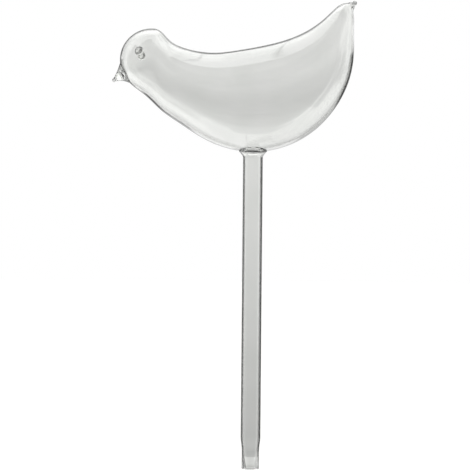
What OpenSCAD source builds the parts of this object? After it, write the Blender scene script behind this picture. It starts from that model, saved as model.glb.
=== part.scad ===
// Watering globe: a hollow blown-glass bird on a straight glass tube.
// The tube is filled, turned over and pushed into the soil of a plant pot.
// The origin is the centre of the drip hole at the lower end of the tube. +Z runs up
// the tube, -X is the side of the beak and +X the side of the tail.

/* [Bird] */
// Length of the blown shell from the front of the head to the end of the tail
body_l = 118; // [105:1:130]
// Height of the shell from the weld on the tube to the tip of the tail
body_h = 76; // [68:0.5:84]
// Width of the shell across the belly
body_w = 46; // [38:1:54]
// Distance from the front of the head back to the tube
tube_from_front = 67.5; // [61:0.5:73]
// Diameter of the round head
head_d = 32; // [28:0.5:36]
// Height of the top of the head above the weld
head_top = 61.5; // [57:0.5:66]
// Glass thickness along the back
wall_back = 0.9; // [0.7:0.1:1.4]
// Glass thickness along the belly, where the glass ran together
wall_belly = 1.2; // [1:0.1:2]
// Glass thickness at the throat and behind the beak
wall_throat = 1.6; // [1.4:0.1:3]
// Length of solid glass at the end of the tail
tail_solid_l = 4.5; // [4:0.5:9]

/* [Beak] */
// Length of the beak from the head to its tip
beak_l = 6.2; // [4.5:0.1:8]
// Diameter of the flared foot of the beak on the head
beak_foot_d = 13; // [10:0.2:14]
// Diameter of the rounded nib at the tip
beak_nib_d = 1.8; // [1.2:0.1:2.6]
// Angle of the foot round the head, below level
beak_foot_angle = 27; // [18:1:32]
// Angle at which the nib points down
beak_droop = 40; // [27:1:55]

/* [Eyes] */
// Diameter of each glass bead
eye_d = 4.4; // [3:0.2:6]
// Height that a bead stands out from the head
eye_h = 1.4; // [1:0.1:2]
// Distance of the beads in front of the middle of the head
eye_forward = 5.7; // [4:0.1:9]
// Height of the beads above the middle of the head
eye_up = 3.4; // [2:0.1:7]

/* [Tail nub] */
// Diameter of the sealed nub at the tip of the tail
nub_d = 2.4; // [1.6:0.2:3.4]
// Length that the nub stands out from the tail
nub_l = 1.6; // [1.4:0.1:3]
// Angle of the nub above level
nub_angle = 40; // [20:1:60]

/* [Weld collar] */
// Diameter of the flared weld where it meets the belly
collar_d = 14.4; // [12.5:0.1:17]
// Height of the flare above the end of the tube
collar_h = 3; // [2.4:0.1:5]

/* [Tube] */
// Length of the tube from the drip hole to the weld collar
tube_l = 157; // [120:1:190]
// Outer diameter of the tube
tube_d = 10; // [9:0.1:12]
// Glass thickness of the tube
tube_wall = 1; // [0.8:0.1:1.4]
// Outer diameter of the drawn tip
tip_d = 8.7; // [8:0.1:8.9]
// Diameter of the drip hole
tip_bore_d = 6; // [5:0.1:6.4]
// Length over which the drip hole keeps that diameter
tip_bore_l = 6; // [5:0.5:6.5]
// Length of the drawn tip
tip_l = 9; // [7:0.5:14]
// Length of the taper above the tip
taper_l = 7.5; // [5:0.5:12]
// Radius of the fire-polished lip round the drip hole
lip_r = 0.4; // [0.2:0.1:0.45]

/* [Hidden] */
$fn = 64;
glass = [0.86, 0.91, 0.92, 0.5];
glass_deep = [0.66, 0.77, 0.79, 0.8];

// Places that the driving sizes give
weld_z = tube_l + collar_h;
head_r = head_d / 2;
head = [head_r - tube_from_front, weld_z + head_top - head_r];
tail_tip = place([0.998, 0.985]);
tube_bore_d = tube_d - 2 * tube_wall;

// The head is part of a ball from the nape round the crown to the throat
nape_angle = 83;
throat_angle = 225;
crown_angle = (nape_angle + throat_angle) / 2;
head_span = throat_angle - crown_angle;
beak_angle = 180 + beak_foot_angle;

// Steps of the curved surfaces
head_steps = 7;
rib_steps = 3;
dome_steps = 4;
outer_sides = 40;
inner_sides = 32;
beak_sides = 24;

// Ribs of the body from the nape to the tail, spread like a fan. Each has a point on the back and
// one on the belly, as shares of the length behind the front of the head and of the height above
// the weld, and the width there as a share of the belly's.
RIBS = [
    [[0.210, 0.737], [0.110, 0.364], 0.72],
    [[0.270, 0.686], [0.175, 0.270], 0.79],
    [[0.340, 0.660], [0.250, 0.189], 0.88],
    [[0.420, 0.654], [0.340, 0.099], 0.95],
    [[0.510, 0.672], [0.450, 0.025], 0.99],
    [[0.600, 0.698], [0.575, -0.003], 1.00],
    [[0.690, 0.733], [0.710, 0.034], 0.98],
    [[0.760, 0.773], [0.830, 0.137], 0.91],
    [[0.815, 0.819], [0.930, 0.310], 0.78],
    [[0.860, 0.870], [0.985, 0.500], 0.62],
    [[0.895, 0.920], [1.000, 0.660], 0.45],
    [[0.925, 0.963], [1.000, 0.795], 0.31],
    [[0.955, 0.987], [0.998, 0.905], 0.18]
];

// A rib in use is its back point, its belly point and its half width
function place(share) = [share[0] * body_l - tube_from_front, weld_z + share[1] * body_h];
function rib(r) = [place(r[0]), place(r[1]), r[2] * body_w / 2];
function middle(rib) = (rib[0] + rib[1]) / 2;
function toward(angle) = [cos(angle), sin(angle)];
function ball_rib(centre, r, axis, half) =
    [centre + r * toward(axis - half), centre + r * toward(axis + half), r * sin(half)];

// The same rib inside the glass. Where a rib meets the outline at a slant, the wall takes more of it.
function belly_wall(i) = wall_belly + (wall_throat - wall_belly) * max(0, 1 - i / 4);
function slant(up, way) = max(abs(cross(up, way)) / norm(way), 0.5);
function inset(i) =
    let (r = rib(RIBS[i]), before = rib(RIBS[max(i - 1, 0)]), after = rib(RIBS[i + 1]))
    let (up = (r[0] - r[1]) / norm(r[0] - r[1]))
    let (back = wall_back / slant(up, after[0] - before[0]))
    let (belly = belly_wall(i) / slant(up, after[1] - before[1]))
    [r[0] - back * up, r[1] + belly * up, r[2] - (wall_back + belly_wall(i)) / 2];

// A smooth curve from b to c, which a and d steer
function curve(a, b, c, d, t) =
    0.5 * (2 * b + (c - a) * t + (2 * a - 5 * b + 4 * c - d) * t * t
    + (3 * b - a - 3 * c + d) * t * t * t);
function smooth(ribs) =
    [for (i = [1:len(ribs) - 3]) for (k = [0:rib_steps - 1])
        curve(ribs[i - 1], ribs[i], ribs[i + 1], ribs[i + 2], k / rib_steps)];

// Ribs that round off the end of a row to a point
function dome(rib, tip) =
    [for (k = [0:dome_steps - 1]) let (a = 90 * k / dome_steps, m = middle(rib))
        let (centre = m + (tip - m) * sin(a), reach = (rib[0] - m) * cos(a))
        [centre + reach, centre - reach, rib[2] * cos(a)]];

// The whole row of ribs: the ball of the head, the curved body and the closed tail
function row(centre, r, ribs, tip) =
    let (last = ribs[len(ribs) - 1], before = ribs[len(ribs) - 2])
    concat(
        [for (k = [1:head_steps - 1]) ball_rib(centre, r, crown_angle, head_span * k / head_steps)],
        smooth(concat(
            [ball_rib(centre, r, crown_angle, head_span / 2)],
            [ball_rib(centre, r, crown_angle, head_span)],
            ribs,
            [2 * last - before])),
        dome(last, tip));

// Skin over a row of ribs, closed at a point at each end
module loft(ribs, first, last, sides) {
    rings = [for (r = ribs) let (m = middle(r), reach = r[0] - m)
        for (k = [0:sides - 1]) let (a = 360 * k / sides)
        [m[0] + reach[0] * cos(a), r[2] * sin(a), m[1] + reach[1] * cos(a)]];
    points = concat([[first[0], 0, first[1]]], rings, [[last[0], 0, last[1]]]);
    end = len(points) - 1;
    final = end - sides;
    front = [for (k = [0:sides - 1]) [0, 1 + (k + 1) % sides, 1 + k]];
    skin = [for (i = [0:len(ribs) - 2]) for (k = [0:sides - 1])
        let (a = 1 + i * sides + k, b = 1 + i * sides + (k + 1) % sides)
        for (face = [[a, b, a + sides], [b, b + sides, a + sides]]) face];
    back = [for (k = [0:sides - 1]) [end, final + k, final + (k + 1) % sides]];
    polyhedron(points, concat(front, skin, back));
}

// The blown shell without its hollow, and the stretches of it that glass is welded on to
outside_row = row(head, head_r, [for (r = RIBS) rib(r)], tail_tip);
crown = head + head_r * toward(crown_angle);
first_body_rib = head_steps - 1;
last_rib = len(outside_row) - 1;

module outside(from, to) {
    part = [for (i = [from:to]) outside_row[i]];
    loft(part, from == 0 ? crown : middle(part[0]),
        to == last_rib ? tail_tip : middle(part[to - from]), outer_sides);
}
module head_outside() { outside(0, first_body_rib + 2 * rib_steps); }
module belly_outside() { outside(first_body_rib + 5 * rib_steps, first_body_rib + 8 * rib_steps); }
module tail_outside() { outside(first_body_rib + 11 * rib_steps, last_rib); }

// The hollow, which lies nearer to the nape than to the throat and stops short of the tail's tip
module bird_hollow() {
    ball_r = head_r - (wall_back + wall_throat) / 2;
    ball = head + (wall_throat - wall_back) / 2 * toward(beak_angle - 180);
    ribs = [for (i = [0:len(RIBS) - 2]) inset(i)];
    end = middle(ribs[len(ribs) - 1]);
    tip = tail_tip + tail_solid_l * (end - tail_tip) / norm(end - tail_tip);
    loft(row(ball, ball_r, ribs, tip), ball + ball_r * toward(crown_angle), tip, inner_sides);
}

module bird_body() {
    color(glass)
    difference() {
        outside(0, last_rib);
        bird_hollow();
        translate([0, 0, weld_z - collar_h])
            cylinder(d = tube_bore_d, h = collar_h + 4 * wall_belly);
    }
}

// Height of the underside of the belly above the weld, at a distance to the side of the tube
function belly_rise(y) =
    let (w = body_w / 2, h = (RIBS[5][0][1] - RIBS[5][1][1]) * body_h / 2)
    h * (1 - sqrt(1 - y * y / (w * w)));

// The weld flares out like a saddle, so that it follows the round belly
module neck_collar() {
    flare = (collar_d - tube_d) / 2;
    sides = 48;
    steps = 6;
    sink = 0.4;
    rings = [for (s = [0:steps]) let (a = 90 * s / steps, r = tube_d / 2 + flare * (1 - cos(a)))
        for (k = [0:sides - 1]) let (t = 360 * k / sides)
        [r * cos(t), r * sin(t), tube_l + (collar_h + sink + belly_rise(r * sin(t))) * sin(a)]];
    points = concat([[0, 0, tube_l]], rings, [[0, 0, weld_z + sink]]);
    end = len(points) - 1;
    bottom = [for (k = [0:sides - 1]) [0, 1 + k, 1 + (k + 1) % sides]];
    wall = [for (s = [0:steps - 1]) for (k = [0:sides - 1])
        let (a = 1 + s * sides + k, b = 1 + s * sides + (k + 1) % sides)
        for (face = [[a, a + sides, b], [b, a + sides, b + sides]]) face];
    top = [for (k = [0:sides - 1]) [end, end - sides + (k + 1) % sides, end - sides + k]];
    color(glass_deep)
    difference() {
        polyhedron(points, concat(bottom, wall, top));
        belly_outside();
        translate([0, 0, tube_l - 1])
            cylinder(d = tube_bore_d, h = collar_h + 2);
    }
}

// The tube, drawn down to a narrower tip with a rounded lip
function ease(t) = (1 - cos(180 * t)) / 2;
function drawn(r_low, r_high, z_low, z_high) =
    [for (t = [0:0.1:1]) [r_low + (r_high - r_low) * ease(t), z_low + (z_high - z_low) * t]];
function lip(r, turn) =
    [for (a = [0:15:90]) [r - turn * lip_r * (1 - sin(a)), lip_r * (1 - cos(a))]];

module stem_tube() {
    taper_top = tip_l + taper_l;
    outside = concat(lip(tip_d / 2, 1), drawn(tip_d / 2, tube_d / 2, tip_l, taper_top),
        [[tube_d / 2, tube_l]]);
    inside = concat(lip(tip_bore_d / 2, -1), drawn(tip_bore_d / 2, tube_bore_d / 2, tip_bore_l, taper_top),
        [[tube_bore_d / 2, tube_l]]);
    color(glass)
    rotate_extrude()
        polygon(concat(outside, [for (i = [len(inside) - 1:-1:0]) inside[i]]));
}

// A drop of glass pulled out of the head, with a wide foot that follows it and a drooping nib
module beak() {
    foot_r = beak_foot_d / 2;
    nib_r = beak_nib_d / 2;
    sink = 0.4;
    ball = head_r - sink;
    foot = head + ball * cos(asin(foot_r / ball)) * toward(beak_angle);
    nib = head + (head_r + beak_l - nib_r) * toward(beak_angle);
    nib_angle = 180 + beak_droop;
    steps = 10;
    ribs = [for (k = [0:steps])
        let (t = k / steps, angle = beak_angle + (nib_angle - beak_angle) * t)
        let (r = nib_r + (foot_r - nib_r) * pow(1 - t, 2.2), m = foot + (nib - foot) * t)
        [m + r * toward(angle + 90), m - r * toward(angle + 90), r]];
    tip = nib + nib_r * toward(nib_angle);
    color(glass_deep)
    difference() {
        loft(concat([for (k = [0:steps - 1]) ribs[k]], dome(ribs[steps], tip)),
            foot - toward(beak_angle), tip, beak_sides);
        head_outside();
    }
}

// A bead on the side of the head, with its middle inside the head so that a cap stands out
module eye(side) {
    bead_r = (eye_d * eye_d / 4 + eye_h * eye_h) / (2 * eye_h);
    sideways = sqrt(head_r * head_r - eye_forward * eye_forward - eye_up * eye_up);
    out = [-eye_forward, side * sideways, eye_up] / head_r;
    color(glass_deep)
    difference() {
        translate([head[0], 0, head[1]] + (head_r + eye_h - bead_r) * out)
            sphere(r = bead_r, $fn = 96);
        head_outside();
    }
}

// Left and right are those of someone who looks at the beak from in front
module eye_left() { eye(1); }
module eye_right() { eye(-1); }

// The point where the blowing tube was drawn off: a short waist and a rounded end
module tail_nub() {
    r = nub_d / 2;
    waist = 0.2 * nub_d;
    straight = nub_l - r;
    root = 3;
    color(glass_deep)
    difference() {
        translate([tail_tip[0], 0, tail_tip[1]])
            rotate([0, 90 - nub_angle, 0])
            rotate_extrude()
            polygon(concat(
                [[0, -root], [r, -root]],
                [for (t = [0:0.125:1]) [r - waist * sin(180 * t), straight * t]],
                [for (a = [0:10:90]) [r * cos(a), straight + r * sin(a)]]));
        tail_outside();
    }
}

bird_body();
neck_collar();
stem_tube();
beak();
eye_left();
eye_right();
tail_nub();
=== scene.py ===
"""Watering globe of clear glass: a small blown bird on a long drawn tube.

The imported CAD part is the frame. Each of its pieces is shown by a finer mesh of the same piece, with
real outer and inner surfaces of glass, so that light bends and gleams in it as in the real one.
Sizes are in millimetres and become metres where a mesh is made. The origin is the centre of the drip
hole, +Z runs up the tube, -X is the side of the beak, and the camera looks along +Y.
"""

import logging
import math
from dataclasses import dataclass, replace
from enum import Enum
from functools import cached_property

import bpy
import numpy as np
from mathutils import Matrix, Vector, noise
from mathutils.bvhtree import BVHTree


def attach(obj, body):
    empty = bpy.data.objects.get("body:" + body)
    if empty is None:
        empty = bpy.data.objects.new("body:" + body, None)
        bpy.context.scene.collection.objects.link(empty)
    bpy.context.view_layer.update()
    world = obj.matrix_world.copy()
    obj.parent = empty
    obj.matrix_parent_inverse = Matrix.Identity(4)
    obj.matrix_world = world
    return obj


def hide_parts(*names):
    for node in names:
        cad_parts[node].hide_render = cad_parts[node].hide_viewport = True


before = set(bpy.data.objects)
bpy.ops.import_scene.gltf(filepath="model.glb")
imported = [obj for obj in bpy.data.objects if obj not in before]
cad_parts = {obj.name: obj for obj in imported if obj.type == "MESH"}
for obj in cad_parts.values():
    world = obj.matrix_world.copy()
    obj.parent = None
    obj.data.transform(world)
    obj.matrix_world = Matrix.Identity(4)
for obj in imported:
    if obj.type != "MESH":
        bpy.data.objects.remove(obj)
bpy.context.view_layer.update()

MM = 0.001
# Pieces that are fused together stand this far apart, so that a ray meets one surface at a time
SEAM = 0.02
# A length that counts as nothing
TINY = 1e-6
UP = np.array((0.0, 0.0, 1.0))
SIDEWAYS = np.array((0.0, 1.0, 0.0))
# The centre of the drip hole
ORIGIN = np.zeros(3)

# The points and the faces of one closed skin
Skin = tuple[np.ndarray, list[list[int]]]
Tree = bpy.types.NodeTree
Socket = bpy.types.NodeSocket
# Values and output sockets, by the name or number of an input socket
Settings = dict[str | int, object]
Links = dict[str | int, Socket]

log = logging.getLogger("watering_globe")


# Shared tools


def linear(hex_colour: str) -> tuple[float, float, float, float]:
    """Turns an sRGB colour into the linear one that Blender's sockets take.

    Args:
        hex_colour: six hexadecimal digits after a hash sign.

    Returns:
        Red, green, blue and an alpha of 1.
    """
    channels = (int(hex_colour[i : i + 2], 16) / 255 for i in (1, 3, 5))
    return (*(c / 12.92 if c <= 0.04045 else ((c + 0.055) / 1.055) ** 2.4 for c in channels), 1.0)


def add_node(tree: Tree, kind: str, settings: Settings, links: Links) -> bpy.types.Node:
    """Adds one node with its settings and its links.

    Args:
        tree: the node tree that it joins.
        kind: Blender's name of the node, without the ShaderNode in front.
        settings: values by name. A name of one of the node's own properties sets that property, and
            any other name, or a number, is an input socket.
        links: output sockets by the name or number of the input socket that they feed.

    Returns:
        The new node.
    """
    node = tree.nodes.new(f"ShaderNode{kind}")
    for name, value in settings.items():
        if isinstance(name, str) and hasattr(node, name):
            setattr(node, name, value)
        else:
            node.inputs[name].default_value = value
    for name, socket in links.items():
        tree.links.new(socket, node.inputs[name])
    return node


def smooth_step(begin: float, end: float, start: float = 0.0) -> Settings:
    """Settings of a map range that goes smoothly from one of 0 and 1 to the other.

    Args:
        begin: the value at which it starts to change.
        end: the value at which it is done.
        start: 0 for a step up and 1 for a step down.

    Returns:
        The settings for add_node.
    """
    return {"interpolation_type": "SMOOTHSTEP", 1: begin, 2: end, 3: start, 4: 1.0 - start}


def grain(size: float, detail: float, roughness: float = 0.5) -> Settings:
    """Settings of a noise whose features have a size in millimetres."""
    return {"Scale": 1 / (size * MM), "Detail": detail, "Roughness": roughness}


def skin(rings: list[np.ndarray], hollow: bool = False, looped: bool = False) -> Skin:
    """Covers a row of rings with faces.

    Args:
        rings: points of each ring, all with the same number, or one point where the skin closes.
        hollow: whether the skin is the wall of a hollow, so that its faces look inward.
        looped: whether the last ring joins the first, as on a tube with a bore.

    Returns:
        The points and the faces.
    """
    starts = np.cumsum([0] + [len(ring) for ring in rings])
    points = np.vstack(rings)
    faces = []
    pairs = list(zip(range(len(rings)), range(1, len(rings))))
    if looped:
        pairs.append((len(rings) - 1, 0))
    for low, high in pairs:
        a, b = starts[low], starts[high]
        count = max(len(rings[low]), len(rings[high]))
        for k in range(count):
            n = (k + 1) % count
            corners = [a + k, a + n, b + n, b + k]
            if len(rings[low]) == 1:
                corners = [a, b + n, b + k]
            elif len(rings[high]) == 1:
                corners = [a + k, a + n, b]
            faces.append([int(c) for c in corners])
    if (volume(points, faces) < 0) != hollow:
        faces = [face[::-1] for face in faces]
    return points, faces


def volume(points: np.ndarray, faces: list[list[int]]) -> float:
    """Volume inside closed faces, which is negative where they look inward.

    Args:
        points: corner points.
        faces: corner numbers of each face.

    Returns:
        The volume in the cube of the points' unit.
    """
    triangles = np.array([(f[0], f[i], f[i + 1]) for f in faces for i in range(1, len(f) - 1)])
    a, b, c = (points[triangles[:, i]] for i in range(3))
    return float(np.einsum("ij,ij->i", a, np.cross(b, c)).sum() / 6)


def make_piece(name: str, skins: list[Skin]) -> bpy.types.Object:
    """Makes one mesh object from skins in millimetres.

    Args:
        name: name of the piece.
        skins: points and faces of each closed skin.

    Returns:
        The new object, smooth except along its real edges.
    """
    points, faces = [], []
    for more_points, more_faces in skins:
        shift = len(points)
        points.extend(map(tuple, more_points * MM))
        faces.extend([[corner + shift for corner in face] for face in more_faces])
    mesh = bpy.data.meshes.new(name)
    mesh.from_pydata(points, [], faces)
    piece = bpy.data.objects.new(name, mesh)
    bpy.context.scene.collection.objects.link(piece)
    soften(mesh)
    return piece


def soften(mesh: bpy.types.Mesh, edge_angle: float = 35.0) -> None:
    """Shades a mesh smooth and keeps the edges that are really sharp.

    Args:
        mesh: the mesh.
        edge_angle: an edge with a sharper turn than this, in degrees, stays sharp.
    """
    mesh.shade_smooth()
    mesh.set_sharp_from_angle(angle=math.radians(edge_angle))
    mesh.update()


def circle(sides: int) -> tuple[np.ndarray, np.ndarray]:
    """Cosines and sines of evenly spread angles round a ring."""
    turn = np.arange(sides) * 2 * math.pi / sides
    return np.cos(turn), np.sin(turn)


def revolve(
    profile: list[tuple[float, float]], sides: int, axis: np.ndarray = UP, base: np.ndarray = ORIGIN
) -> list[np.ndarray]:
    """Turns a profile about an axis.

    Args:
        profile: radius and height of each ring. A radius of zero gives a single point.
        sides: points round each ring.
        axis: direction of the axis.
        base: the point of height zero on the axis.

    Returns:
        The rings.
    """
    axis = axis / np.linalg.norm(axis)
    # Any direction does that isn't near the axis
    across = np.cross(axis, SIDEWAYS if abs(axis[1]) < 0.9 else (1.0, 0.0, 0.0))
    across /= np.linalg.norm(across)
    around = np.cross(axis, across)
    cos, sin = circle(sides)
    rings = []
    for radius, height in profile:
        centre = base + height * axis
        if radius < TINY:
            rings.append(centre[None, :])
        else:
            rings.append(centre + radius * (cos[:, None] * across + sin[:, None] * around))
    return rings


def ease(t: float) -> float:
    """A smooth step from 0 to 1."""
    return (1 - math.cos(math.pi * t)) / 2


def shares(steps: int) -> list[float]:
    """Evenly spread shares from 0 to 1."""
    return [k / steps for k in range(steps + 1)]


def quarter(steps: int) -> list[float]:
    """Evenly spread angles from 0 to a quarter turn, in radians."""
    return [math.pi / 2 * share for share in shares(steps)]


def heading(angle: float) -> np.ndarray:
    """The direction in the plane of the outline that lies so many degrees above +X."""
    return np.array((math.cos(math.radians(angle)), 0.0, math.sin(math.radians(angle))))


# Glass


class Working(Enum):
    """How the glass was shaped, which gives the direction of its fine cords.

    Each value scales the cords' noise along x, y and z, and a small scale draws the cords out that way.
    """

    BLOWN = (0.18, 1.0, 1.0)
    DRAWN = (1.0, 1.0, 0.012)
    GATHERED = (1.0, 1.0, 1.0)


@dataclass(frozen=True)
class LampGlass:
    """Borosilicate glass, clear and fire-polished, worked at the lamp."""

    name: str
    working: Working
    # Almost colourless. A long way through the glass, as at an edge, turns it a little grey-green.
    tint: str = "#FDFDFC"
    tint_thick: str = "#F8F9F7"
    depth_colour: str = "#A6A9A6"
    absorbed_per_mm: float = 0.045
    # Borosilicate 3.3
    ior: float = 1.47
    # Fire-polished surfaces are as smooth as the melt, and handling leaves a breath of haze
    roughness: float = 0.0
    haze: float = 0.012
    haze_size: float = 9.0
    # The part of its noise over which the haze sets in
    haze_span: tuple[float, float] = (0.55, 0.8)
    # Cords: streaks in the melt, drawn out by the work. Real ones are 0.1 to 0.3 mm wide, and these
    # are drawn coarser so that they show.
    cord_width: float = 1.1
    cord_height: float = 0.004
    # Slow waves that the flame leaves
    wave_length: float = 11.0
    wave_height: float = 0.02
    # Painted shade: a weld takes a thin dark line in its tint, standing in for the dark that the glass bends
    # in there. These are the heights that it spans, and at each end it fades over half of its own height.
    seam_shade: tuple[float, float] | None = None
    seam_shade_colour: str = "#1E1E1E"
    # Painted shade: a small solid drop bends the light at its outline so far round that it meets the dark
    # room. The tent here is closed, so the glass is painted this darker tint where it turns away.
    rim_shade_colour: str | None = None
    rim_shade_span: tuple[float, float] = (0.22, 0.6)

    def colour(self, tree: Tree, place: Links, waves: Socket) -> Socket:
        """Tints the glass: unevenly by its waves, with painted shade in a weld's line and where a drop turns
        away.

        Args:
            tree: node tree of the material.
            place: the coordinates.
            waves: the noise of the slow waves.

        Returns:
            A socket with the colour.
        """
        tints = {"data_type": "RGBA", 6: linear(self.tint), 7: linear(self.tint_thick)}
        colour = add_node(tree, "Mix", tints, {0: waves}).outputs[2]
        # Painted shade: a thin dark band across the weld's height
        if self.seam_shade is not None:
            height = {"Value": add_node(tree, "SeparateXYZ", {}, place).outputs["Z"]}
            begin, end = (z * MM for z in self.seam_shade)
            blur = (end - begin) / 4
            enters = add_node(tree, "MapRange", smooth_step(begin - blur, begin + blur), height)
            leaves = add_node(tree, "MapRange", smooth_step(end - blur, end + blur, 1.0), height)
            both = {0: enters.outputs[0], 1: leaves.outputs[0]}
            seam_shade_mask = add_node(tree, "Math", {"operation": "MULTIPLY"}, both).outputs[0]
            dark = {"data_type": "RGBA", 7: linear(self.seam_shade_colour)}
            colour = add_node(tree, "Mix", dark, {0: seam_shade_mask, 6: colour}).outputs[2]
        # Painted shade: a darker tint where a drop's surface turns away from the view
        if self.rim_shade_colour is not None:
            facing = add_node(tree, "LayerWeight", {"Blend": 0.5}, {}).outputs["Facing"]
            turned = add_node(tree, "MapRange", smooth_step(*self.rim_shade_span), {"Value": facing}).outputs[0]
            dark = {"data_type": "RGBA", 7: linear(self.rim_shade_colour)}
            colour = add_node(tree, "Mix", dark, {0: turned, 6: colour}).outputs[2]
        return colour

    def relief(self, tree: Tree, place: Links, waves: Socket) -> Socket:
        """Bends the light by the slow waves and the fine cords.

        Args:
            tree: node tree of the material.
            place: the coordinates.
            waves: the noise of the slow waves.

        Returns:
            A socket with the normal.
        """
        scale = {"vector_type": "POINT", "Scale": self.working.value}
        stretched = {"Vector": add_node(tree, "Mapping", scale, place).outputs["Vector"]}
        cords = add_node(tree, "TexNoise", grain(self.cord_width, 1.0, 0.4), stretched).outputs["Fac"]
        slow = {"Strength": 1.0, "Distance": self.wave_height * MM}
        wavy = add_node(tree, "Bump", slow, {"Height": waves}).outputs["Normal"]
        fine = {"Strength": 1.0, "Distance": self.cord_height * MM}
        return add_node(tree, "Bump", fine, {"Height": cords, "Normal": wavy}).outputs["Normal"]

    def material(self) -> bpy.types.Material:
        """Builds the material.

        Returns:
            Glass whose light bends at the surface and is absorbed on its way through.
        """
        material = bpy.data.materials.new(self.name)
        material.use_nodes = True
        tree = material.node_tree
        tree.nodes.clear()
        place = {"Vector": add_node(tree, "TexCoord", {}, {}).outputs["Object"]}
        waves = add_node(tree, "TexNoise", grain(self.wave_length, 0.0), place).outputs["Fac"]
        haze = add_node(tree, "TexNoise", grain(self.haze_size, 2.0), place).outputs["Fac"]
        hazy = {1: self.haze_span[0], 2: self.haze_span[1], 3: self.roughness, 4: self.roughness + self.haze}
        looks = {
            "Base Color": self.colour(tree, place, waves),
            "Roughness": add_node(tree, "MapRange", hazy, {"Value": haze}).outputs["Result"],
            "Normal": self.relief(tree, place, waves),
        }
        clear = {"Transmission Weight": 1.0, "IOR": self.ior, "Metallic": 0.0}
        glass = add_node(tree, "BsdfPrincipled", clear, looks).outputs["BSDF"]
        depth_colour = linear(self.depth_colour)
        absorbed = sum(1 - c for c in depth_colour[:3]) / 3
        thick = {"Color": depth_colour, "Density": self.absorbed_per_mm / MM / absorbed}
        depth = add_node(tree, "VolumeAbsorption", thick, {}).outputs["Volume"]
        add_node(tree, "OutputMaterial", {}, {"Surface": glass, "Volume": depth})
        return material


# Cords drawn out from head to tail give the shell faint streaks along its body
BLOWN_SHELL_GLASS = LampGlass("Blown_borosilicate_glass", Working.BLOWN)
# Fine cords run all the way up the tube, over long flat waves
DRAWN_TUBE_GLASS = LampGlass(
    "Drawn_borosilicate_tube",
    Working.DRAWN,
    cord_width=0.9,
    cord_height=0.006,
    wave_length=16.0,
    wave_height=0.012,
)
# Glass that was only melted together has short soft waves and hardly a cord
GATHERED_GLASS = LampGlass(
    "Gathered_borosilicate_glass",
    Working.GATHERED,
    cord_width=1.6,
    cord_height=0.002,
    wave_length=4.0,
    wave_height=0.01,
)
# Painted shade: dark outlines make the small drops stand out
RIM_SHADED_DROP_GLASS = replace(GATHERED_GLASS, name="Rounded_drop_painted_rim_shade", rim_shade_colour="#2A2C2A")
# The beak's foot is seen at more of a slant than a bead is, so its painted shade at the outline sets in
# later
RIM_SHADED_BEAK_GLASS = replace(RIM_SHADED_DROP_GLASS, name="Pulled_drop_painted_rim_shade", rim_shade_span=(0.33, 0.7))
# Painted shade: a thin dark line crosses the weld
SEAM_SHADED_GLASS = replace(GATHERED_GLASS, name="Welded_glass_painted_seam_shade", seam_shade=(159.95, 160.25))


@dataclass
class Piece:
    """A piece of the globe: it builds its mesh, takes its glass and replaces its CAD node."""

    node: str
    slot: str
    glass: LampGlass

    def skins(self) -> list[Skin]:
        """Points and faces of each closed skin, in millimetres."""
        raise NotImplementedError

    def finish_mesh(self, shown: bpy.types.Object) -> None:
        """Does the work on the mesh once it stands, which most pieces don't need."""

    def build(self) -> bpy.types.Object:
        """Builds the piece, dresses it in its glass and ties it to the frame.

        Returns:
            The finished object.
        """
        shown = make_piece(f"{self.node}_glass", self.skins())
        self.finish_mesh(shown)
        name = self.glass.name
        shown.data.materials.append(bpy.data.materials.get(name) or self.glass.material())
        # Clear glass lights its surroundings by caustics, so it casts no flat shadow on the floor
        shown.visible_shadow = False
        shown.visible_diffuse = False
        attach(shown, "root")
        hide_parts(self.node)
        log.info("%s: %d faces", shown.name, len(shown.data.polygons))
        return shown


# Bird


# Ribs of the body from the nape to the tail, spread like a fan: a point on the back and one on the
# belly, as shares of the shell's length and height, and the width as a share of the belly's
RIBS: tuple[tuple[float, float, float, float, float], ...] = (
    (0.210, 0.737, 0.110, 0.364, 0.72),
    (0.270, 0.686, 0.175, 0.270, 0.79),
    (0.340, 0.660, 0.250, 0.189, 0.88),
    (0.420, 0.654, 0.340, 0.099, 0.95),
    (0.510, 0.672, 0.450, 0.025, 0.99),
    (0.600, 0.698, 0.575, -0.003, 1.00),
    (0.690, 0.733, 0.710, 0.034, 0.98),
    (0.760, 0.773, 0.830, 0.137, 0.91),
    (0.815, 0.819, 0.930, 0.310, 0.78),
    (0.860, 0.870, 0.985, 0.500, 0.62),
    (0.895, 0.920, 1.000, 0.660, 0.45),
    (0.925, 0.963, 1.000, 0.795, 0.31),
    (0.955, 0.987, 0.998, 0.905, 0.18),
    (0.980, 0.995, 1.000, 0.955, 0.10),
)


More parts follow.
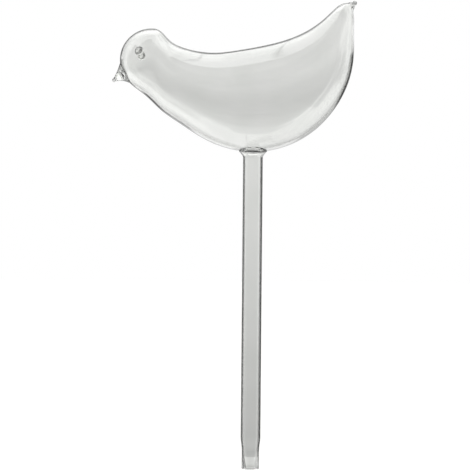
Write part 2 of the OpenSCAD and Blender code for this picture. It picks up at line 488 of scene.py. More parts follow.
@dataclass
class BlownBird(Piece):
    """The hollow shell: round head, curved body and raised tail, open only at the neck."""

    node: str = "bird_body"
    slot: str = "shell_glass"
    glass: LampGlass = BLOWN_SHELL_GLASS
    length: float = 118.0
    height: float = 76.0
    width: float = 46.0
    tube_from_front: float = 67.5
    weld_z: float = 160.0
    head_r: float = 16.0
    head_top: float = 61.5
    nape_angle: float = 83.0
    throat_angle: float = 225.0
    wall_back: float = 0.8
    wall_belly: float = 0.9
    wall_head: float = 0.6
    # Where a rib meets the outline askew its wall is divided by the slant, but by no less than this
    least_slant: float = 0.5
    # Where the shell closes at the tail, as shares of its length and height
    tail_at: tuple[float, float] = (0.998, 0.985)
    # The rib from which the wall grows thinner, by how much of itself at the tip, and the length of
    # solid glass there
    tail_from: int = 7
    tail_thinning: float = 0.5
    tail_solid: float = 0.6
    # The hole for the water, and its rim: how far above the weld it ends and how round it is
    neck_bore: float = 6.5
    rim_height: float = 1.35
    rim_r: float = 0.4
    rim_steps: int = 8
    # The tool that cuts the hole goes this far past the weld on both sides
    neck_reach: float = 4.0
    neck_sides: int = 96
    # How far the blown skin wanders from its ideal form, over what distance, and how far from a
    # skin's closed end it does so fully
    wander: float = 0.07
    wander_length: float = 17.0
    wander_from: float = 8.0
    # The inside wanders apart from the outside
    inside_shift: float = 9.0
    sides: int = 160
    ring_step: float = 0.75
    head_steps: int = 14
    tail_steps: int = 4
    # How many ribs are repeated past each end of a row
    mirrored: int = 3

    @property
    def head(self) -> np.ndarray:
        """Middle of the ball of the head, as x and z."""
        return np.array((self.head_r - self.tube_from_front, self.weld_z + self.head_top - self.head_r))

    @property
    def head_centre(self) -> np.ndarray:
        """Middle of the ball of the head, as x, y and z."""
        return np.array((self.head[0], 0.0, self.head[1]))

    @property
    def tail_tip(self) -> np.ndarray:
        """The point where the shell closes at the tail, as x and z."""
        return self.place(*self.tail_at)

    def place(self, along: float, up: float) -> np.ndarray:
        """A point in the plane of the outline, from its shares of the length and the height."""
        return np.array((along * self.length - self.tube_from_front, self.weld_z + up * self.height))

    def ball_rib(self, centre: np.ndarray, radius: float, half: float) -> np.ndarray:
        """A rib of the head's ball.

        Args:
            centre: middle of the ball.
            radius: radius of the ball.
            half: half the angle of the ball that the rib spans, in degrees.

        Returns:
            The back's x and z, the belly's x and z, and the half width.
        """
        crown = (self.nape_angle + self.throat_angle) / 2
        ends = [math.radians(crown - half), math.radians(crown + half)]
        points = [centre + radius * np.array((math.cos(a), math.sin(a))) for a in ends]
        return np.array((*points[0], *points[1], radius * math.sin(math.radians(half))))

    def row(self, centre: np.ndarray, radius: float, ribs: list[np.ndarray], tip: np.ndarray) -> np.ndarray:
        """Smooth rings over the ball of the head, the ribs of the body and the rounded tail.

        Args:
            centre: middle of the head's ball.
            radius: radius of the head's ball.
            ribs: ribs of the body.
            tip: point where the skin closes.

        Returns:
            One line for each ring, in the form of ball_rib.
        """
        span = (self.throat_angle - self.nape_angle) / 2
        knots = [self.ball_rib(centre, radius, span * share) for share in shares(self.head_steps)]
        knots += ribs
        last = ribs[-1]
        middle = (last[:2] + last[2:4]) / 2
        for angle in quarter(self.tail_steps)[1:]:
            cos, sin = math.cos(angle), math.sin(angle)
            core = middle + (tip - middle) * sin
            reach = (last[:2] - middle) * cos
            knots.append(np.array((*(core + reach), *(core - reach), last[4] * cos)))
        return self.spline(np.array(knots))

    def spline(self, knots: np.ndarray) -> np.ndarray:
        """Runs a curve whose bend never jumps through a row of ribs that closes at both ends.

        Args:
            knots: ribs, the first and last of which are points.

        Returns:
            Rings, about ring_step apart.
        """
        # Past its end a skin comes back on the other side, so the row goes on there as in a mirror
        extra = self.mirrored
        swapped = knots[:, [2, 3, 0, 1, 4]] * (1, 1, 1, 1, -1)
        rows = np.vstack((swapped[extra:0:-1], knots, swapped[-2 : -2 - extra : -1]))
        steps = np.diff(rows, axis=0)
        gaps = (np.hypot(steps[:, 0], steps[:, 1]) + np.hypot(steps[:, 2], steps[:, 3])) / 2
        along = np.concatenate(([0.0], np.cumsum(gaps)))
        count = len(rows)
        system = np.eye(count)
        pull = np.zeros_like(rows)
        for i in range(1, count - 1):
            system[i, i - 1 : i + 2] = gaps[i - 1], 2 * (gaps[i - 1] + gaps[i]), gaps[i]
            pull[i] = 6 * (steps[i] / gaps[i] - steps[i - 1] / gaps[i - 1])
        bend = np.linalg.solve(system, pull)
        first, last = along[extra], along[-1 - extra]
        at = np.linspace(first, last, int((last - first) / self.ring_step) + 1)
        i = np.clip(np.searchsorted(along, at, side="right") - 1, 0, count - 2)
        gap = gaps[i][:, None]
        to_next = (along[i + 1] - at)[:, None]
        from_last = (at - along[i])[:, None]
        return (
            (bend[i] * to_next**3 + bend[i + 1] * from_last**3) / (6 * gap)
            + (rows[i] / gap - bend[i] * gap / 6) * to_next
            + (rows[i + 1] / gap - bend[i + 1] * gap / 6) * from_last
        )

    def rings(self, row: np.ndarray) -> list[np.ndarray]:
        """Draws oval rings round a row of ribs.

        Args:
            row: one line for each ring, in the form of ball_rib.

        Returns:
            The rings, of which the first and the last are single points.
        """
        cos, sin = circle(self.sides)
        rings = []
        for line in row:
            middle = (line[:2] + line[2:4]) / 2
            reach = line[:2] - middle
            flat = middle + cos[:, None] * reach
            rings.append(np.column_stack((flat[:, 0], line[4] * sin, flat[:, 1])))
        rings[0], rings[-1] = rings[0][:1], rings[-1][:1]
        return rings

    @cached_property
    def body_ribs(self) -> list[np.ndarray]:
        """Ribs of the outside of the body, in millimetres."""
        return [
            np.array((*self.place(bx, bz), *self.place(lx, lz), width * self.width / 2))
            for bx, bz, lx, lz, width in RIBS
        ]

    def wandered(self, rings: list[np.ndarray], shift: float = 0.0) -> list[np.ndarray]:
        """Moves the points of a skin a little inward, in slow waves, as on blown glass.

        Args:
            rings: rings of points.
            shift: moves the waves, so that two skins wander apart.

        Returns:
            The moved rings.
        """
        moved = []
        for ring in rings:
            middle = ring.mean(axis=0)
            reach = np.linalg.norm(ring - middle, axis=1)
            places = [Vector(p / self.wander_length) + Vector((shift, 0, 0)) for p in ring]
            waves = np.array([noise.noise(place) for place in places])
            inward = self.wander * (0.5 + 0.5 * waves) * np.clip(reach / self.wander_from, 0, 1)
            moved.append(ring - (ring - middle) * (inward / np.maximum(reach, TINY))[:, None])
        return moved

    @cached_property
    def outer(self) -> Skin:
        """The points and the faces of the outside."""
        row = self.row(self.head, self.head_r, self.body_ribs, self.tail_tip)
        return skin(self.wandered(self.rings(row)))

    def inner(self) -> Skin:
        """Builds the wall of the hollow, which ends before the tail.

        Returns:
            The points and the faces, which look inward.
        """
        radius = self.head_r - self.wall_head
        ribs = []
        last = len(self.body_ribs) - 1
        for i, rib in enumerate(self.body_ribs):
            # The tail was drawn out, so its wall grows thin toward the tip
            drawn = 1 - self.tail_thinning * max(0.0, (i - self.tail_from) / (last - self.tail_from))
            back, belly = self.wall_back * drawn, self.wall_belly * drawn
            up = (rib[:2] - rib[2:4]) / np.linalg.norm(rib[:2] - rib[2:4])
            # Where a rib meets the outline at a slant, the same wall takes more of the rib
            run = self.body_ribs[min(i + 1, last)] - self.body_ribs[max(i - 1, 0)]
            ways = [way / np.linalg.norm(way) for way in (run[:2], run[2:4])]
            slants = [abs(up[0] * way[1] - up[1] * way[0]) for way in ways]
            at_back, at_belly = (w / max(s, self.least_slant) for w, s in zip((back, belly), slants))
            half = rib[4] - (back + belly) / 2
            ribs.append(np.array((*(rib[:2] - at_back * up), *(rib[2:4] + at_belly * up), half)))
        end = (ribs[-1][:2] + ribs[-1][2:4]) / 2
        tip = self.tail_tip + self.tail_solid * (end - self.tail_tip) / np.linalg.norm(end - self.tail_tip)
        rings = self.rings(self.row(self.head, radius, ribs, tip))
        return skin(self.wandered(rings, self.inside_shift), hollow=True)

    @cached_property
    def surface(self) -> BVHTree:
        """The outside, for rays that find where another piece meets it."""
        points, faces = self.outer
        return BVHTree.FromPolygons([tuple(p) for p in points], faces)

    def hit(self, start: np.ndarray, toward: np.ndarray) -> np.ndarray:
        """The place where a ray meets the outside.

        Args:
            start: where the ray starts.
            toward: its direction.

        Returns:
            The point that it meets.
        """
        found = self.surface.ray_cast(Vector(start), Vector(toward))[0]
        if found is None:
            raise ValueError(f"no glass along {toward} from {start}")
        return np.array(found)

    def skins(self) -> list[Skin]:
        """The outside and the wall of the hollow."""
        return [self.outer, self.inner()]

    def finish_mesh(self, shown: bpy.types.Object) -> None:
        """Opens the neck through the belly, with a rim rounded by the flame on the inside.

        Args:
            shown: the object of the shell.
        """
        low, high = self.weld_z - self.neck_reach, self.weld_z + self.neck_reach
        top = self.weld_z + self.rim_height
        profile = [(0.0, low), (self.neck_bore, low)]
        for a in quarter(self.rim_steps):
            widened = self.neck_bore + self.rim_r * (1 - math.cos(a))
            profile.append((widened, top - self.rim_r * (1 - math.sin(a))))
        profile += [(self.neck_bore + self.rim_r, high), (0.0, high)]
        cutter = make_piece("neck_cutter", [skin(revolve(profile, self.neck_sides))])
        cut = shown.modifiers.new("neck", "BOOLEAN")
        cut.operation, cut.solver, cut.object = "DIFFERENCE", "EXACT", cutter
        opened = bpy.data.meshes.new_from_object(shown.evaluated_get(bpy.context.evaluated_depsgraph_get()))
        shown.modifiers.clear()
        shown.data = opened
        bpy.data.objects.remove(cutter)
        soften(opened)


@dataclass(kw_only=True)
class SolidPiece(Piece):
    """A piece of solid glass that was melted on to the bird."""

    bird: BlownBird
    slot: str = "solid_glass"


@dataclass(kw_only=True)
class WeldCollar(SolidPiece):
    """The flared weld that carries the shell: it follows the belly like a saddle."""

    node: str = "neck_collar"
    glass: LampGlass = SEAM_SHADED_GLASS
    bottom: float = 157.0
    rim_z: float = 159.9
    tube_r: float = 5.0
    foot_r: float = 7.0
    bore_r: float = 4.25
    # The tube's end was opened out before the weld, so its wall stays thin all the way up
    mouth_r: float = 6.5
    # How the flare opens: 1 is a straight cone
    flare: float = 1.5
    sides: int = 128
    steps: int = 16
    saddle_steps: int = 6

    def belly(self, x: float, y: float) -> float:
        """Height of the belly's underside above a point."""
        return float(self.bird.hit(np.array((x, y, self.bottom)), UP)[2])

    def level(self, radius: float, height: float | np.ndarray) -> np.ndarray:
        """A ring round the neck, level or at its own height for each point."""
        cos, sin = circle(self.sides)
        return np.column_stack((radius * cos, radius * sin, np.full(self.sides, height)))

    def saddle(self, radius: float) -> np.ndarray:
        """A ring of a given radius that lies against the belly."""
        x, y = (radius * share for share in circle(self.sides))
        return self.level(radius, np.array([self.belly(a, b) - SEAM for a, b in zip(x, y)]))

    def skins(self) -> list[Skin]:
        """Builds the collar.

        Returns:
            One skin: the flare with its upright rim, the top against the belly, and the bore.
        """
        low = self.bottom + SEAM
        climb = shares(self.steps)
        out, wide = self.foot_r - self.tube_r, self.mouth_r - self.bore_r
        rings = [self.level(self.tube_r + out * t**self.flare, low + (self.rim_z - low) * t) for t in climb]
        inward = self.mouth_r - self.foot_r
        rings += [self.saddle(self.foot_r + inward * t) for t in shares(self.saddle_steps)]
        rise = rings[-1][:, 2] - low
        rings += [self.level(self.bore_r + wide * t**self.flare, low + rise * t) for t in climb[-2::-1]]
        return [skin(rings, looped=True)]


@dataclass
class DrawnTube(Piece):
    """The tube, drawn down to a narrower tip with a fire-polished lip."""

    node: str = "stem_tube"
    slot: str = "tube_glass"
    glass: LampGlass = DRAWN_TUBE_GLASS
    # Height and radius where the glass changes its shape, from the lip to the weld. The melt gathers
    # at the mouth, so the bore is narrowest there.
    outside: tuple[tuple[float, float], ...] = ((0.4, 4.35), (9.0, 4.35), (16.5, 5.0), (157.0, 5.0))
    bore: tuple[tuple[float, float], ...] = ((0.4, 3.0), (6.4, 3.6), (9.0, 3.7), (16.5, 4.25), (157.0, 4.25))
    lip_r: float = 0.4
    # Below this height the bore widens straight, and above it the shape changes in soft curves
    mouth_l: float = 6.0
    sides: int = 128
    lip_steps: int = 8
    # Length of a step along the straight glass and where its shape changes
    step: float = 1.5
    short_step: float = 0.3

    def side(self, stations: tuple[tuple[float, float], ...], turn: int) -> list[tuple[float, float]]:
        """The profile of one side of the glass, from the lip to the weld.

        Args:
            stations: height and radius where the shape changes.
            turn: 1 for the outside and -1 for the bore.

        Returns:
            Radius and height of each ring.
        """
        at_tip = stations[0][1]
        profile = []
        for a in quarter(self.lip_steps)[:-1]:
            profile.append((at_tip - turn * self.lip_r * (1 - math.sin(a)), self.lip_r * (1 - math.cos(a))))
        for (low, begin), (high, end) in zip(stations, stations[1:]):
            count = max(1, round((high - low) / (self.short_step if begin != end else self.step)))
            for t in shares(count)[:-1]:
                share = ease(t) if low > self.mouth_l else t
                profile.append((begin + (end - begin) * share, low + (high - low) * t))
        return profile + [stations[-1][::-1]]

    def skins(self) -> list[Skin]:
        """The outside up to the weld and the bore back down."""
        profile = self.side(self.outside, 1) + self.side(self.bore, -1)[::-1]
        return [skin(revolve(profile, self.sides), looped=True)]


@dataclass(kw_only=True)
class PulledBeak(SolidPiece):
    """A drop of glass pulled out of the head: a wide foot on the ball and a drooping nib."""

    node: str = "beak"
    glass: LampGlass = RIM_SHADED_BEAK_GLASS
    length: float = 6.05
    foot_r: float = 6.5
    nib_r: float = 1.05
    # How far the soft nib sank before it set
    droop: float = 0.6
    foot_angle: float = 207.0
    nib_angle: float = 220.0
    # How quickly the foot grows into the nib: 1 is a straight cone
    drawn: float = 1.5
    # The beak's own line starts this deep in the head
    sunk: float = 0.4
    sides: int = 72
    steps: int = 40
    # Halvings of the search for the place where the skin comes out of the head
    halvings: int = 40
    nib_steps: int = 15
    foot_shares: tuple[float, ...] = (0.0, 0.25, 0.5, 0.75)

    def line(self, t: float) -> tuple[np.ndarray, np.ndarray, float]:
        """The beak's own line.

        Args:
            t: 0 at the foot and 1 at the middle of the nib.

        Returns:
            The middle, the direction and the radius there.
        """
        start = self.bird.head_r - self.sunk
        foot = start * math.cos(math.asin(self.foot_r / start))
        nib = self.bird.head_r + self.length - self.nib_r
        straight = self.bird.head_centre + (foot + (nib - foot) * t) * heading(self.foot_angle)
        way = heading(self.foot_angle + (self.nib_angle - self.foot_angle) * t)
        radius = self.nib_r + (self.foot_r - self.nib_r) * (1 - t) ** self.drawn
        return straight - self.droop * t**2 * UP, way, radius

    @staticmethod
    def across(way: np.ndarray, cos: float | np.ndarray, sin: float | np.ndarray) -> np.ndarray:
        """Directions square to the beak's line, by the cosine and the sine of the angle round it."""
        return cos * np.array((-way[2], 0.0, way[0])) + sin * SIDEWAYS

    def point(self, t: float, cos: float, sin: float) -> np.ndarray:
        """A point of the beak's skin, at t along it and round it by a cosine and a sine."""
        middle, way, radius = self.line(t)
        return middle + radius * self.across(way, cos, sin)

    def leaves_head(self, cos: float, sin: float) -> float:
        """Finds where the skin comes out of the head, on one line from the foot to the nib.

        Args:
            cos: cosine of the line's angle round the beak.
            sin: its sine.

        Returns:
            How far along the beak that is, as t in line.
        """
        low, high = 0.0, 1.0
        for _ in range(self.halvings):
            t = (low + high) / 2
            depth = np.linalg.norm(self.point(t, cos, sin) - self.bird.head_centre)
            low, high = (t, high) if depth < self.bird.head_r + SEAM else (low, t)
        return high

    def skins(self) -> list[Skin]:
        """Builds the beak.

        Returns:
            One skin: the foot on the head, the drawn glass and the round nib.
        """
        cos, sin = circle(self.sides)
        starts = [self.leaves_head(c, s) for c, s in zip(cos, sin)]
        drawn = [
            np.array([self.point(t + (1 - t) * part, c, s) for t, c, s in zip(starts, cos, sin)])
            for part in shares(self.steps)[:-1]
        ]
        middle, way, radius = self.line(1.0)
        ring = self.across(way, cos[:, None], sin[:, None])
        turns = quarter(self.nib_steps)[:-1]
        nib = [middle + radius * (math.sin(a) * way + math.cos(a) * ring) for a in turns]
        nib.append((middle + radius * way)[None, :])
        # The foot is a piece of the head's own ball
        centre = self.bird.head_centre
        heart = drawn[0].mean(axis=0)
        foot = []
        for share in self.foot_shares:
            out = heart + (drawn[0] - heart) * share - centre
            ball = centre + out / np.linalg.norm(out, axis=1)[:, None] * (self.bird.head_r + SEAM)
            foot.append(ball[:1] if share == 0.0 else ball)
        return [skin(foot + drawn + nib)]


class Side(Enum):
    """Sides of the head for someone who faces the beak: left is away from the camera."""

    LEFT = 1
    RIGHT = -1


@dataclass(kw_only=True)
class EyeBead(SolidPiece):
    """A bead of clear glass melted on to the side of the head."""

    side: Side
    node: str = ""
    glass: LampGlass = RIM_SHADED_DROP_GLASS
    bead_r: float = 2.2
    # How far the bead stands out of the head, and where it sits from the head's middle
    rise: float = 1.4
    forward: float = 5.7
    up: float = 3.4
    sides: int = 72
    dome_steps: int = 24
    seat_steps: int = 8

    def __post_init__(self) -> None:
        """Names the bead for its side."""
        self.node = f"eye_{self.side.name.lower()}"

    def skins(self) -> list[Skin]:
        """Builds the bead.

        Returns:
            One skin: the dome and the seat on the ball of the head.
        """
        head_r = self.bird.head_r
        seat_r = head_r + SEAM
        ball = (self.bead_r**2 + self.rise**2) / (2 * self.rise)
        sideways = math.sqrt(head_r**2 - self.forward**2 - self.up**2)
        out = np.array((-self.forward, self.side.value * sideways, self.up)) / head_r
        # Heights count from the head's middle: the bead's ball meets the seat at this height
        middle = head_r + self.rise - ball
        meets = (seat_r**2 + middle**2 - ball**2) / (2 * middle)
        widest = math.acos((meets - middle) / ball)
        spread = math.acos(meets / seat_r)
        dome_angles = [widest * share for share in shares(self.dome_steps)]
        seat_angles = [spread * share for share in shares(self.seat_steps)[-2::-1]]
        dome = [(ball * math.sin(a), middle + ball * math.cos(a)) for a in dome_angles]
        seat = [(seat_r * math.sin(a), seat_r * math.cos(a)) for a in seat_angles]
        return [skin(revolve(dome + seat, self.sides, out, self.bird.head_centre))]


@dataclass(kw_only=True)
class TailNub(SolidPiece):
    """The sealed point where the blowing tube was drawn off: a short waist and a round end."""

    node: str = "tail_nub"
    glass: LampGlass = RIM_SHADED_DROP_GLASS
    radius: float = 1.2
    length: float = 1.6
    waist: float = 0.48
    angle: float = 40.0
    sides: int = 64
    steps: int = 16
    seat_shares: tuple[float, ...] = (0.0, 0.33, 0.66, 1.0)
    # The seat is found from this far outside the tail
    reach: float = 3.0

    def skins(self) -> list[Skin]:
        """Builds the nub.

        Returns:
            One skin: the seat on the tail, the waist and the round end.
        """
        axis = heading(self.angle)
        tip = self.bird.tail_tip
        base = np.array((tip[0], 0.0, tip[1]))
        straight = self.length - self.radius
        profile = []
        for t in shares(self.steps):
            profile.append((self.radius - self.waist * math.sin(math.pi * t), straight * t))
        for a in quarter(self.steps)[1:]:
            profile.append((self.radius * math.cos(a), straight + self.radius * math.sin(a)))
        outside = revolve(profile, self.sides, axis, base)
        seat = []
        for share in self.seat_shares:
            ring = revolve([(self.radius * share, 0.0)], self.sides, axis, base + self.reach * axis)[0]
            seat.append(np.array([self.bird.hit(point, -axis) + SEAM * axis for point in ring]))
        return [skin([*seat, (seat[-1] + outside[1]) / 2, *outside[2:]])]


# Studio


class Bearing(Enum):
    """Ways to measure a direction in the studio, in degrees."""

    # Above level
    ELEVATION = "elevation"
    # To the right of straight behind the bird, as the camera sees it
    AZIMUTH = "azimuth"
    # The same on both sides
    SPREAD = "spread"
    # Away from straight behind the bird, up to 180 at the camera
    DEPTH = "depth"
    # Round the camera's line of sight: 0 is up, and it grows to the left
    SLANT = "slant"
    # Slant that turns with the depth, as seams do that run askew across the roof of the tent
    TWIST = "twist"


ELEVATION, AZIMUTH, SPREAD, DEPTH, SLANT, TWIST = Bearing

# A bearing, where the span begins and ends, and how softly, in degrees
Span = tuple[Bearing, float, float, float]
# Spans that many parts of the room behind the camera share
ROOM_ABOVE: Span = (ELEVATION, 12.0, 100.0, 3.0)
ROOM_LEVEL: Span = (ELEVATION, -30.0, 12.0, 4.0)


@dataclass(frozen=True)
class Panel:
    """A part of the light tent, as the glass sees it: how bright it is and the spans where it lies."""

    brightness: float
    spans: tuple[Span, ...]


@dataclass
class Studio:
    """A pale floor, a soft light tent and the camera."""

    lens: float = 150.0
    sensor: float = 36.0
    # Width of the picture at the bird, its middle, and how far the photograph is turned, in degrees
    view_width: float = 236.9
    aim: tuple[float, float, float] = (-8.7, 0.0, 117.8)
    roll: float = 0.5
    floor_r: float = 4000.0
    floor_sides: int = 96
    # The floor lies this far below the tip
    floor_gap: float = 0.5
    # The brightness that the camera sees, and the one that lights what isn't glass
    backdrop: float = 1.0
    fill: float = 1.2
    # Light that has come through the glass from below this elevation is dim, as on a grey floor, so
    # that the globe shows from above too
    below: float = -58.0
    below_blur: float = 4.0
    below_brightness: float = 0.85
    # How often a ray may bend, so that it crosses every wall of the glass, and how often it is mirrored
    bends: int = 28
    mirrors: int = 12
    all_bounces: int = 32
    # Degrees of slant by which the roof's seams turn for each degree of depth
    twist: float = 0.07
    floor_colour: str = "#F4F4F2"
    # The brightness of the tent's wall by elevation, from straight down to straight up
    wall: tuple[tuple[float, float], ...] = (
        (-90.0, 2.0),
        (-22.0, 1.9),
        (-10.0, 0.53),
        (-7.0, 0.49),
        (-2.0, 0.70),
        (2.5, 0.84),
        (3.5, 0.68),
        (5.0, 0.82),
        (6.0, 0.80),
        (9.0, 0.70),
        (20.0, 2.0),
        (90.0, 2.0),
    )
    panels: tuple[Panel, ...] = (
        # Bright sides
        Panel(1.7, ((SPREAD, 17.0, 104.0, 2.0), (ELEVATION, -24.0, 24.0, 4.0))),
        # The tent is dimmer toward the grey wall behind the bird
        Panel(1.15, ((DEPTH, 32.0, 56.0, 8.0),)),
        # Gaps in the tent round the grey wall, which draw the edges of the glass
        Panel(0.6, ((DEPTH, 17.0, 34.0, 2.0),)),
        Panel(0.27, ((DEPTH, 17.0, 37.0, 2.0), (SLANT, -10.0, 75.0, 8.0))),
        Panel(0.5, ((DEPTH, 17.0, 37.0, 2.0), (SLANT, -75.0, -12.0, 8.0))),
        Panel(0.12, ((DEPTH, 18.0, 34.0, 2.0), (SLANT, 60.0, 128.0, 6.0))),
        # Dark cards on both sides
        Panel(0.04, ((AZIMUTH, 14.0, 58.0, 1.5), (ELEVATION, -26.0, 4.1, 0.8))),
        Panel(0.12, ((AZIMUTH, -58.0, -15.0, 1.5), (ELEVATION, -20.0, 4.4, 0.8))),
        # Below the cards the floor throws light into the gaps
        Panel(0.6, ((DEPTH, 17.0, 58.0, 2.0), (SLANT, -150.0, -114.0, 6.0))),
        Panel(0.9, ((DEPTH, 17.0, 58.0, 2.0), (SLANT, -175.0, -146.0, 4.0))),
        Panel(1.05, ((DEPTH, 17.0, 58.0, 2.0), (SLANT, 141.0, 168.0, 3.0))),
        # Above the right card the tent closes again
        Panel(1.0, ((AZIMUTH, 12.0, 50.0, 3.0), (ELEVATION, 5.4, 13.0, 0.8))),
        # The lamps stand overhead, and the tent hangs in shade on the lower right
        Panel(2.5, ((DEPTH, 68.0, 125.0, 10.0), (ELEVATION, 24.0, 100.0, 6.0))),
        Panel(1.15, ((DEPTH, 56.0, 125.0, 6.0), (SLANT, -168.0, -92.0, 10.0))),
        # The room behind the camera: above, level and below
        Panel(0.8, ((DEPTH, 103.0, 200.0, 1.5), ROOM_ABOVE, (SLANT, -12.0, 14.0, 2.0))),
        Panel(0.8, ((DEPTH, 112.0, 200.0, 8.0), ROOM_ABOVE, (SLANT, -200.0, -8.0, 2.0))),
        Panel(0.8, ((DEPTH, 107.0, 200.0, 2.5), ROOM_ABOVE, (SLANT, 10.0, 30.0, 2.0))),
        Panel(0.8, ((DEPTH, 114.0, 200.0, 10.0), ROOM_ABOVE, (SLANT, 22.0, 51.0, 2.0))),
        Panel(0.5, ((DEPTH, 95.0, 200.0, 3.0), ROOM_ABOVE, (SLANT, 47.0, 200.0, 2.0))),
        Panel(0.55, ((DEPTH, 100.0, 200.0, 6.0), ROOM_LEVEL, (SLANT, -4.0, 200.0, 2.0))),
        Panel(0.55, ((DEPTH, 114.0, 200.0, 5.0), ROOM_LEVEL, (SLANT, -200.0, 0.0, 2.0))),
        Panel(0.5, ((DEPTH, 84.0, 200.0, 2.5), (SLANT, 75.0, 145.0, 8.0))),
        Panel(0.15, ((DEPTH, 114.0, 200.0, 12.0), (ELEVATION, -100.0, -28.0, 5.0))),
        # The hem of the tent on the lower right catches the light
        Panel(2.0, ((DEPTH, 108.0, 113.0, 1.5), (SLANT, -160.0, -100.0, 8.0))),
        # A fold in the floor of the tent
        Panel(0.3, ((DEPTH, 76.0, 90.0, 5.0), (SLANT, -176.0, -166.0, 3.0))),
        # Grey walls on the left and the right
        Panel(0.78, ((SPREAD, 81.0, 99.0, 2.0), (ELEVATION, -16.0, 10.0, 2.0))),
        # Seams of the tent overhead
        Panel(0.6, ((SLANT, -4.0, -3.2, 0.3), (DEPTH, 34.0, 100.0, 2.0))),
        Panel(0.8, ((TWIST, 16.2, 16.8, 0.3), (DEPTH, 20.0, 100.0, 2.0))),
    )

    def bearings(self, tree: Tree) -> dict[Bearing, Socket]:
        """Works out the bearings of the direction that a ray takes.

        Args:
            tree: node tree of the world.

        Returns:
            A socket in degrees for each bearing.
        """
        direction = add_node(tree, "TexCoord", {}, {}).outputs["Generated"]
        x, y, z = add_node(tree, "SeparateXYZ", {}, {"Vector": direction}).outputs
        angles = {
            ELEVATION: ("ARCSINE", {0: z}),
            AZIMUTH: ("ARCTAN2", {0: x, 1: y}),
            DEPTH: ("ARCCOSINE", {0: y}),
            SLANT: ("ARCTAN2", {0: x, 1: z}),
        }
        found = {}
        for bearing, (operation, inputs) in angles.items():
            angle = add_node(tree, "Math", {"operation": operation}, inputs).outputs[0]
            found[bearing] = add_node(tree, "Math", {"operation": "DEGREES"}, {0: angle}).outputs[0]
        turned = {"operation": "MULTIPLY", 1: -1.0}
        found[SLANT] = add_node(tree, "Math", turned, {0: found[SLANT]}).outputs[0]
        askew = {"operation": "MULTIPLY_ADD", 1: self.twist}
        found[TWIST] = add_node(tree, "Math", askew, {0: found[DEPTH], 2: found[SLANT]}).outputs[0]
        found[SPREAD] = add_node(tree, "Math", {"operation": "ABSOLUTE"}, {0: found[AZIMUTH]}).outputs[0]
        return found

    def lies_in(self, tree: Tree, bearings: dict[Bearing, Socket], panel: Panel) -> Socket:
        """Works out how much of a panel lies in the direction of a ray.

        Args:
            tree: node tree of the world.
            bearings: the ray's bearings.
            panel: the panel.

        Returns:
            A socket that is 1 inside all of the panel's spans and 0 outside.
        """
        steps = []
        for bearing, begin, end, blur in panel.spans:
            for edge, start in ((begin, 0.0), (end, 1.0)):
                settings = smooth_step(edge - blur, edge + blur, start)
                steps.append(add_node(tree, "MapRange", settings, {"Value": bearings[bearing]}).outputs[0])
        share = steps[0]
        for step in steps[1:]:
            share = add_node(tree, "Math", {"operation": "MULTIPLY"}, {0: share, 1: step}).outputs[0]
        return share

    def tent(self, tree: Tree) -> Socket:
        """Builds the brightness of the tent in every direction.

        Args:
            tree: node tree of the world.

        Returns:
            A socket with the brightness.
        """
        bearings = self.bearings(tree)
        height = {"Value": bearings[ELEVATION]}
        share = add_node(tree, "MapRange", {1: -90.0, 2: 90.0}, height).outputs["Result"]
        curve = add_node(tree, "FloatCurve", {}, {"Value": share})
        points = curve.mapping.curves[0].points
        # The curve's own range ends at 1, so it holds half of each brightness. It comes with two points.
        for i, (elevation, brightness) in enumerate(self.wall):
            at = (elevation + 90) / 180
            point = points[i] if i in (0, 1) else points.new(at, brightness / 2)
            point.location = (at, brightness / 2)
            point.handle_type = "VECTOR"
        curve.mapping.update()
        twice = {"operation": "MULTIPLY", 1: 2.0}
        bright = add_node(tree, "Math", twice, {0: curve.outputs[0]}).outputs[0]
        for panel in self.panels:
            inputs = {0: self.lies_in(tree, bearings, panel), 2: bright}
            settings = {"data_type": "FLOAT", 3: panel.brightness}
            bright = add_node(tree, "Mix", settings, inputs).outputs[0]
        edge = smooth_step(self.below - self.below_blur, self.below, 1.0)
        under = add_node(tree, "MapRange", edge, height).outputs[0]
        through = add_node(tree, "LightPath", {}, {}).outputs["Is Transmission Ray"]
        dim = add_node(tree, "Math", {"operation": "MULTIPLY"}, {0: under, 1: through}).outputs[0]
        floor = {"data_type": "FLOAT", 3: self.below_brightness}
        return add_node(tree, "Mix", floor, {0: dim, 2: bright}).outputs[0]

    def light(self) -> None:
        """Lights the studio: the glass sees the tent, and all else stands in even white light."""
        world = bpy.data.worlds.new("light_tent")
        world.use_nodes = True
        bpy.context.scene.world = world
        tree = world.node_tree
        tree.nodes.clear()
        rays = add_node(tree, "LightPath", {}, {}).outputs
        either = {0: rays["Is Glossy Ray"], 1: rays["Is Transmission Ray"]}
        through = add_node(tree, "Math", {"operation": "MAXIMUM"}, either).outputs[0]
        plain = {"data_type": "FLOAT", 2: self.fill, 3: self.backdrop}
        even = add_node(tree, "Mix", plain, {0: rays["Is Camera Ray"]}).outputs[0]
        lights = {0: through, 2: even, 3: self.tent(tree)}
        strength = add_node(tree, "Mix", {"data_type": "FLOAT"}, lights).outputs[0]
        white = {"Color": (1.0, 1.0, 1.0, 1.0)}
        background = add_node(tree, "Background", white, {"Strength": strength}).outputs[0]
        add_node(tree, "OutputWorld", {}, {"Surface": background})

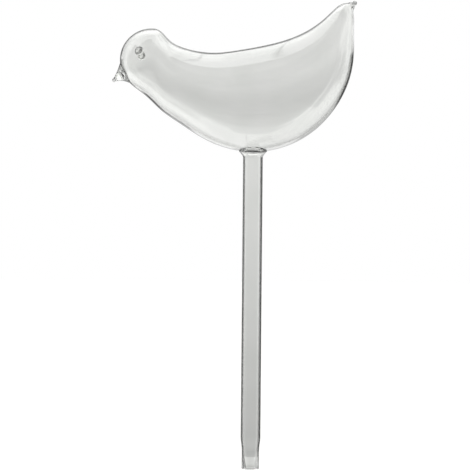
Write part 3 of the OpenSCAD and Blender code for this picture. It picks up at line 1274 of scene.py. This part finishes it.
    def floor(self) -> bpy.types.Object:
        """Lays the pale floor under the tip of the tube.

        Returns:
            The floor, which the glass doesn't mirror because the tent holds its light.
        """
        rim = revolve([(self.floor_r, -self.floor_gap)], self.floor_sides)[0]
        mesh = bpy.data.meshes.new("studio_floor")
        mesh.from_pydata([tuple(p * MM) for p in rim], [], [list(range(len(rim)))])
        floor = bpy.data.objects.new("studio_floor", mesh)
        bpy.context.scene.collection.objects.link(floor)
        # Matt paper gives an even, pale ground without a gleam
        material = bpy.data.materials.new("Matt_white_paper")
        material.use_nodes = True
        settings = {"Base Color": linear(self.floor_colour), "Roughness": 0.9, "Specular IOR Level": 0.0}
        tree = material.node_tree
        tree.nodes.clear()
        paper = add_node(tree, "BsdfPrincipled", settings, {}).outputs[0]
        add_node(tree, "OutputMaterial", {}, {"Surface": paper})
        mesh.materials.append(material)
        floor.visible_transmission = False
        floor.visible_glossy = False
        return floor

    def camera(self) -> bpy.types.Object:
        """Sets up the camera level with the middle of the picture.

        Returns:
            The camera.
        """
        data = bpy.data.cameras.new("camera")
        data.lens, data.sensor_width, data.sensor_fit = self.lens, self.sensor, "HORIZONTAL"
        camera = bpy.data.objects.new("camera", data)
        bpy.context.scene.collection.objects.link(camera)
        away = self.view_width * self.lens / self.sensor
        camera.location = Vector(self.aim) * MM - Vector((0.0, away * MM, 0.0))
        camera.rotation_euler = (math.radians(90.0), -math.radians(self.roll), 0.0)
        bpy.context.scene.camera = camera
        return camera

    def exposure(self) -> None:
        """Shows light as it is and lets rays cross every wall of the glass."""
        scene = bpy.context.scene
        scene.view_settings.view_transform = "Standard"
        scene.view_settings.look = "None"
        scene.cycles.max_bounces = self.all_bounces
        scene.cycles.transmission_bounces = self.bends
        scene.cycles.glossy_bounces = self.mirrors
        scene.cycles.use_denoising = True

    def build(self) -> None:
        """Builds the whole studio."""
        self.exposure()
        self.light()
        self.floor()
        self.camera()
        log.info("studio: floor, light tent and camera")


def main() -> None:
    """Builds the studio and every piece of the globe."""
    logging.basicConfig(level=logging.INFO, format="%(name)s: %(message)s")
    Studio().build()
    bird = BlownBird()
    pieces = [
        bird,
        WeldCollar(bird=bird),
        DrawnTube(),
        PulledBeak(bird=bird),
        EyeBead(bird=bird, side=Side.LEFT),
        EyeBead(bird=bird, side=Side.RIGHT),
        TailNub(bird=bird),
    ]
    for piece in pieces:
        piece.build()


if __name__ == "__main__":
    main()
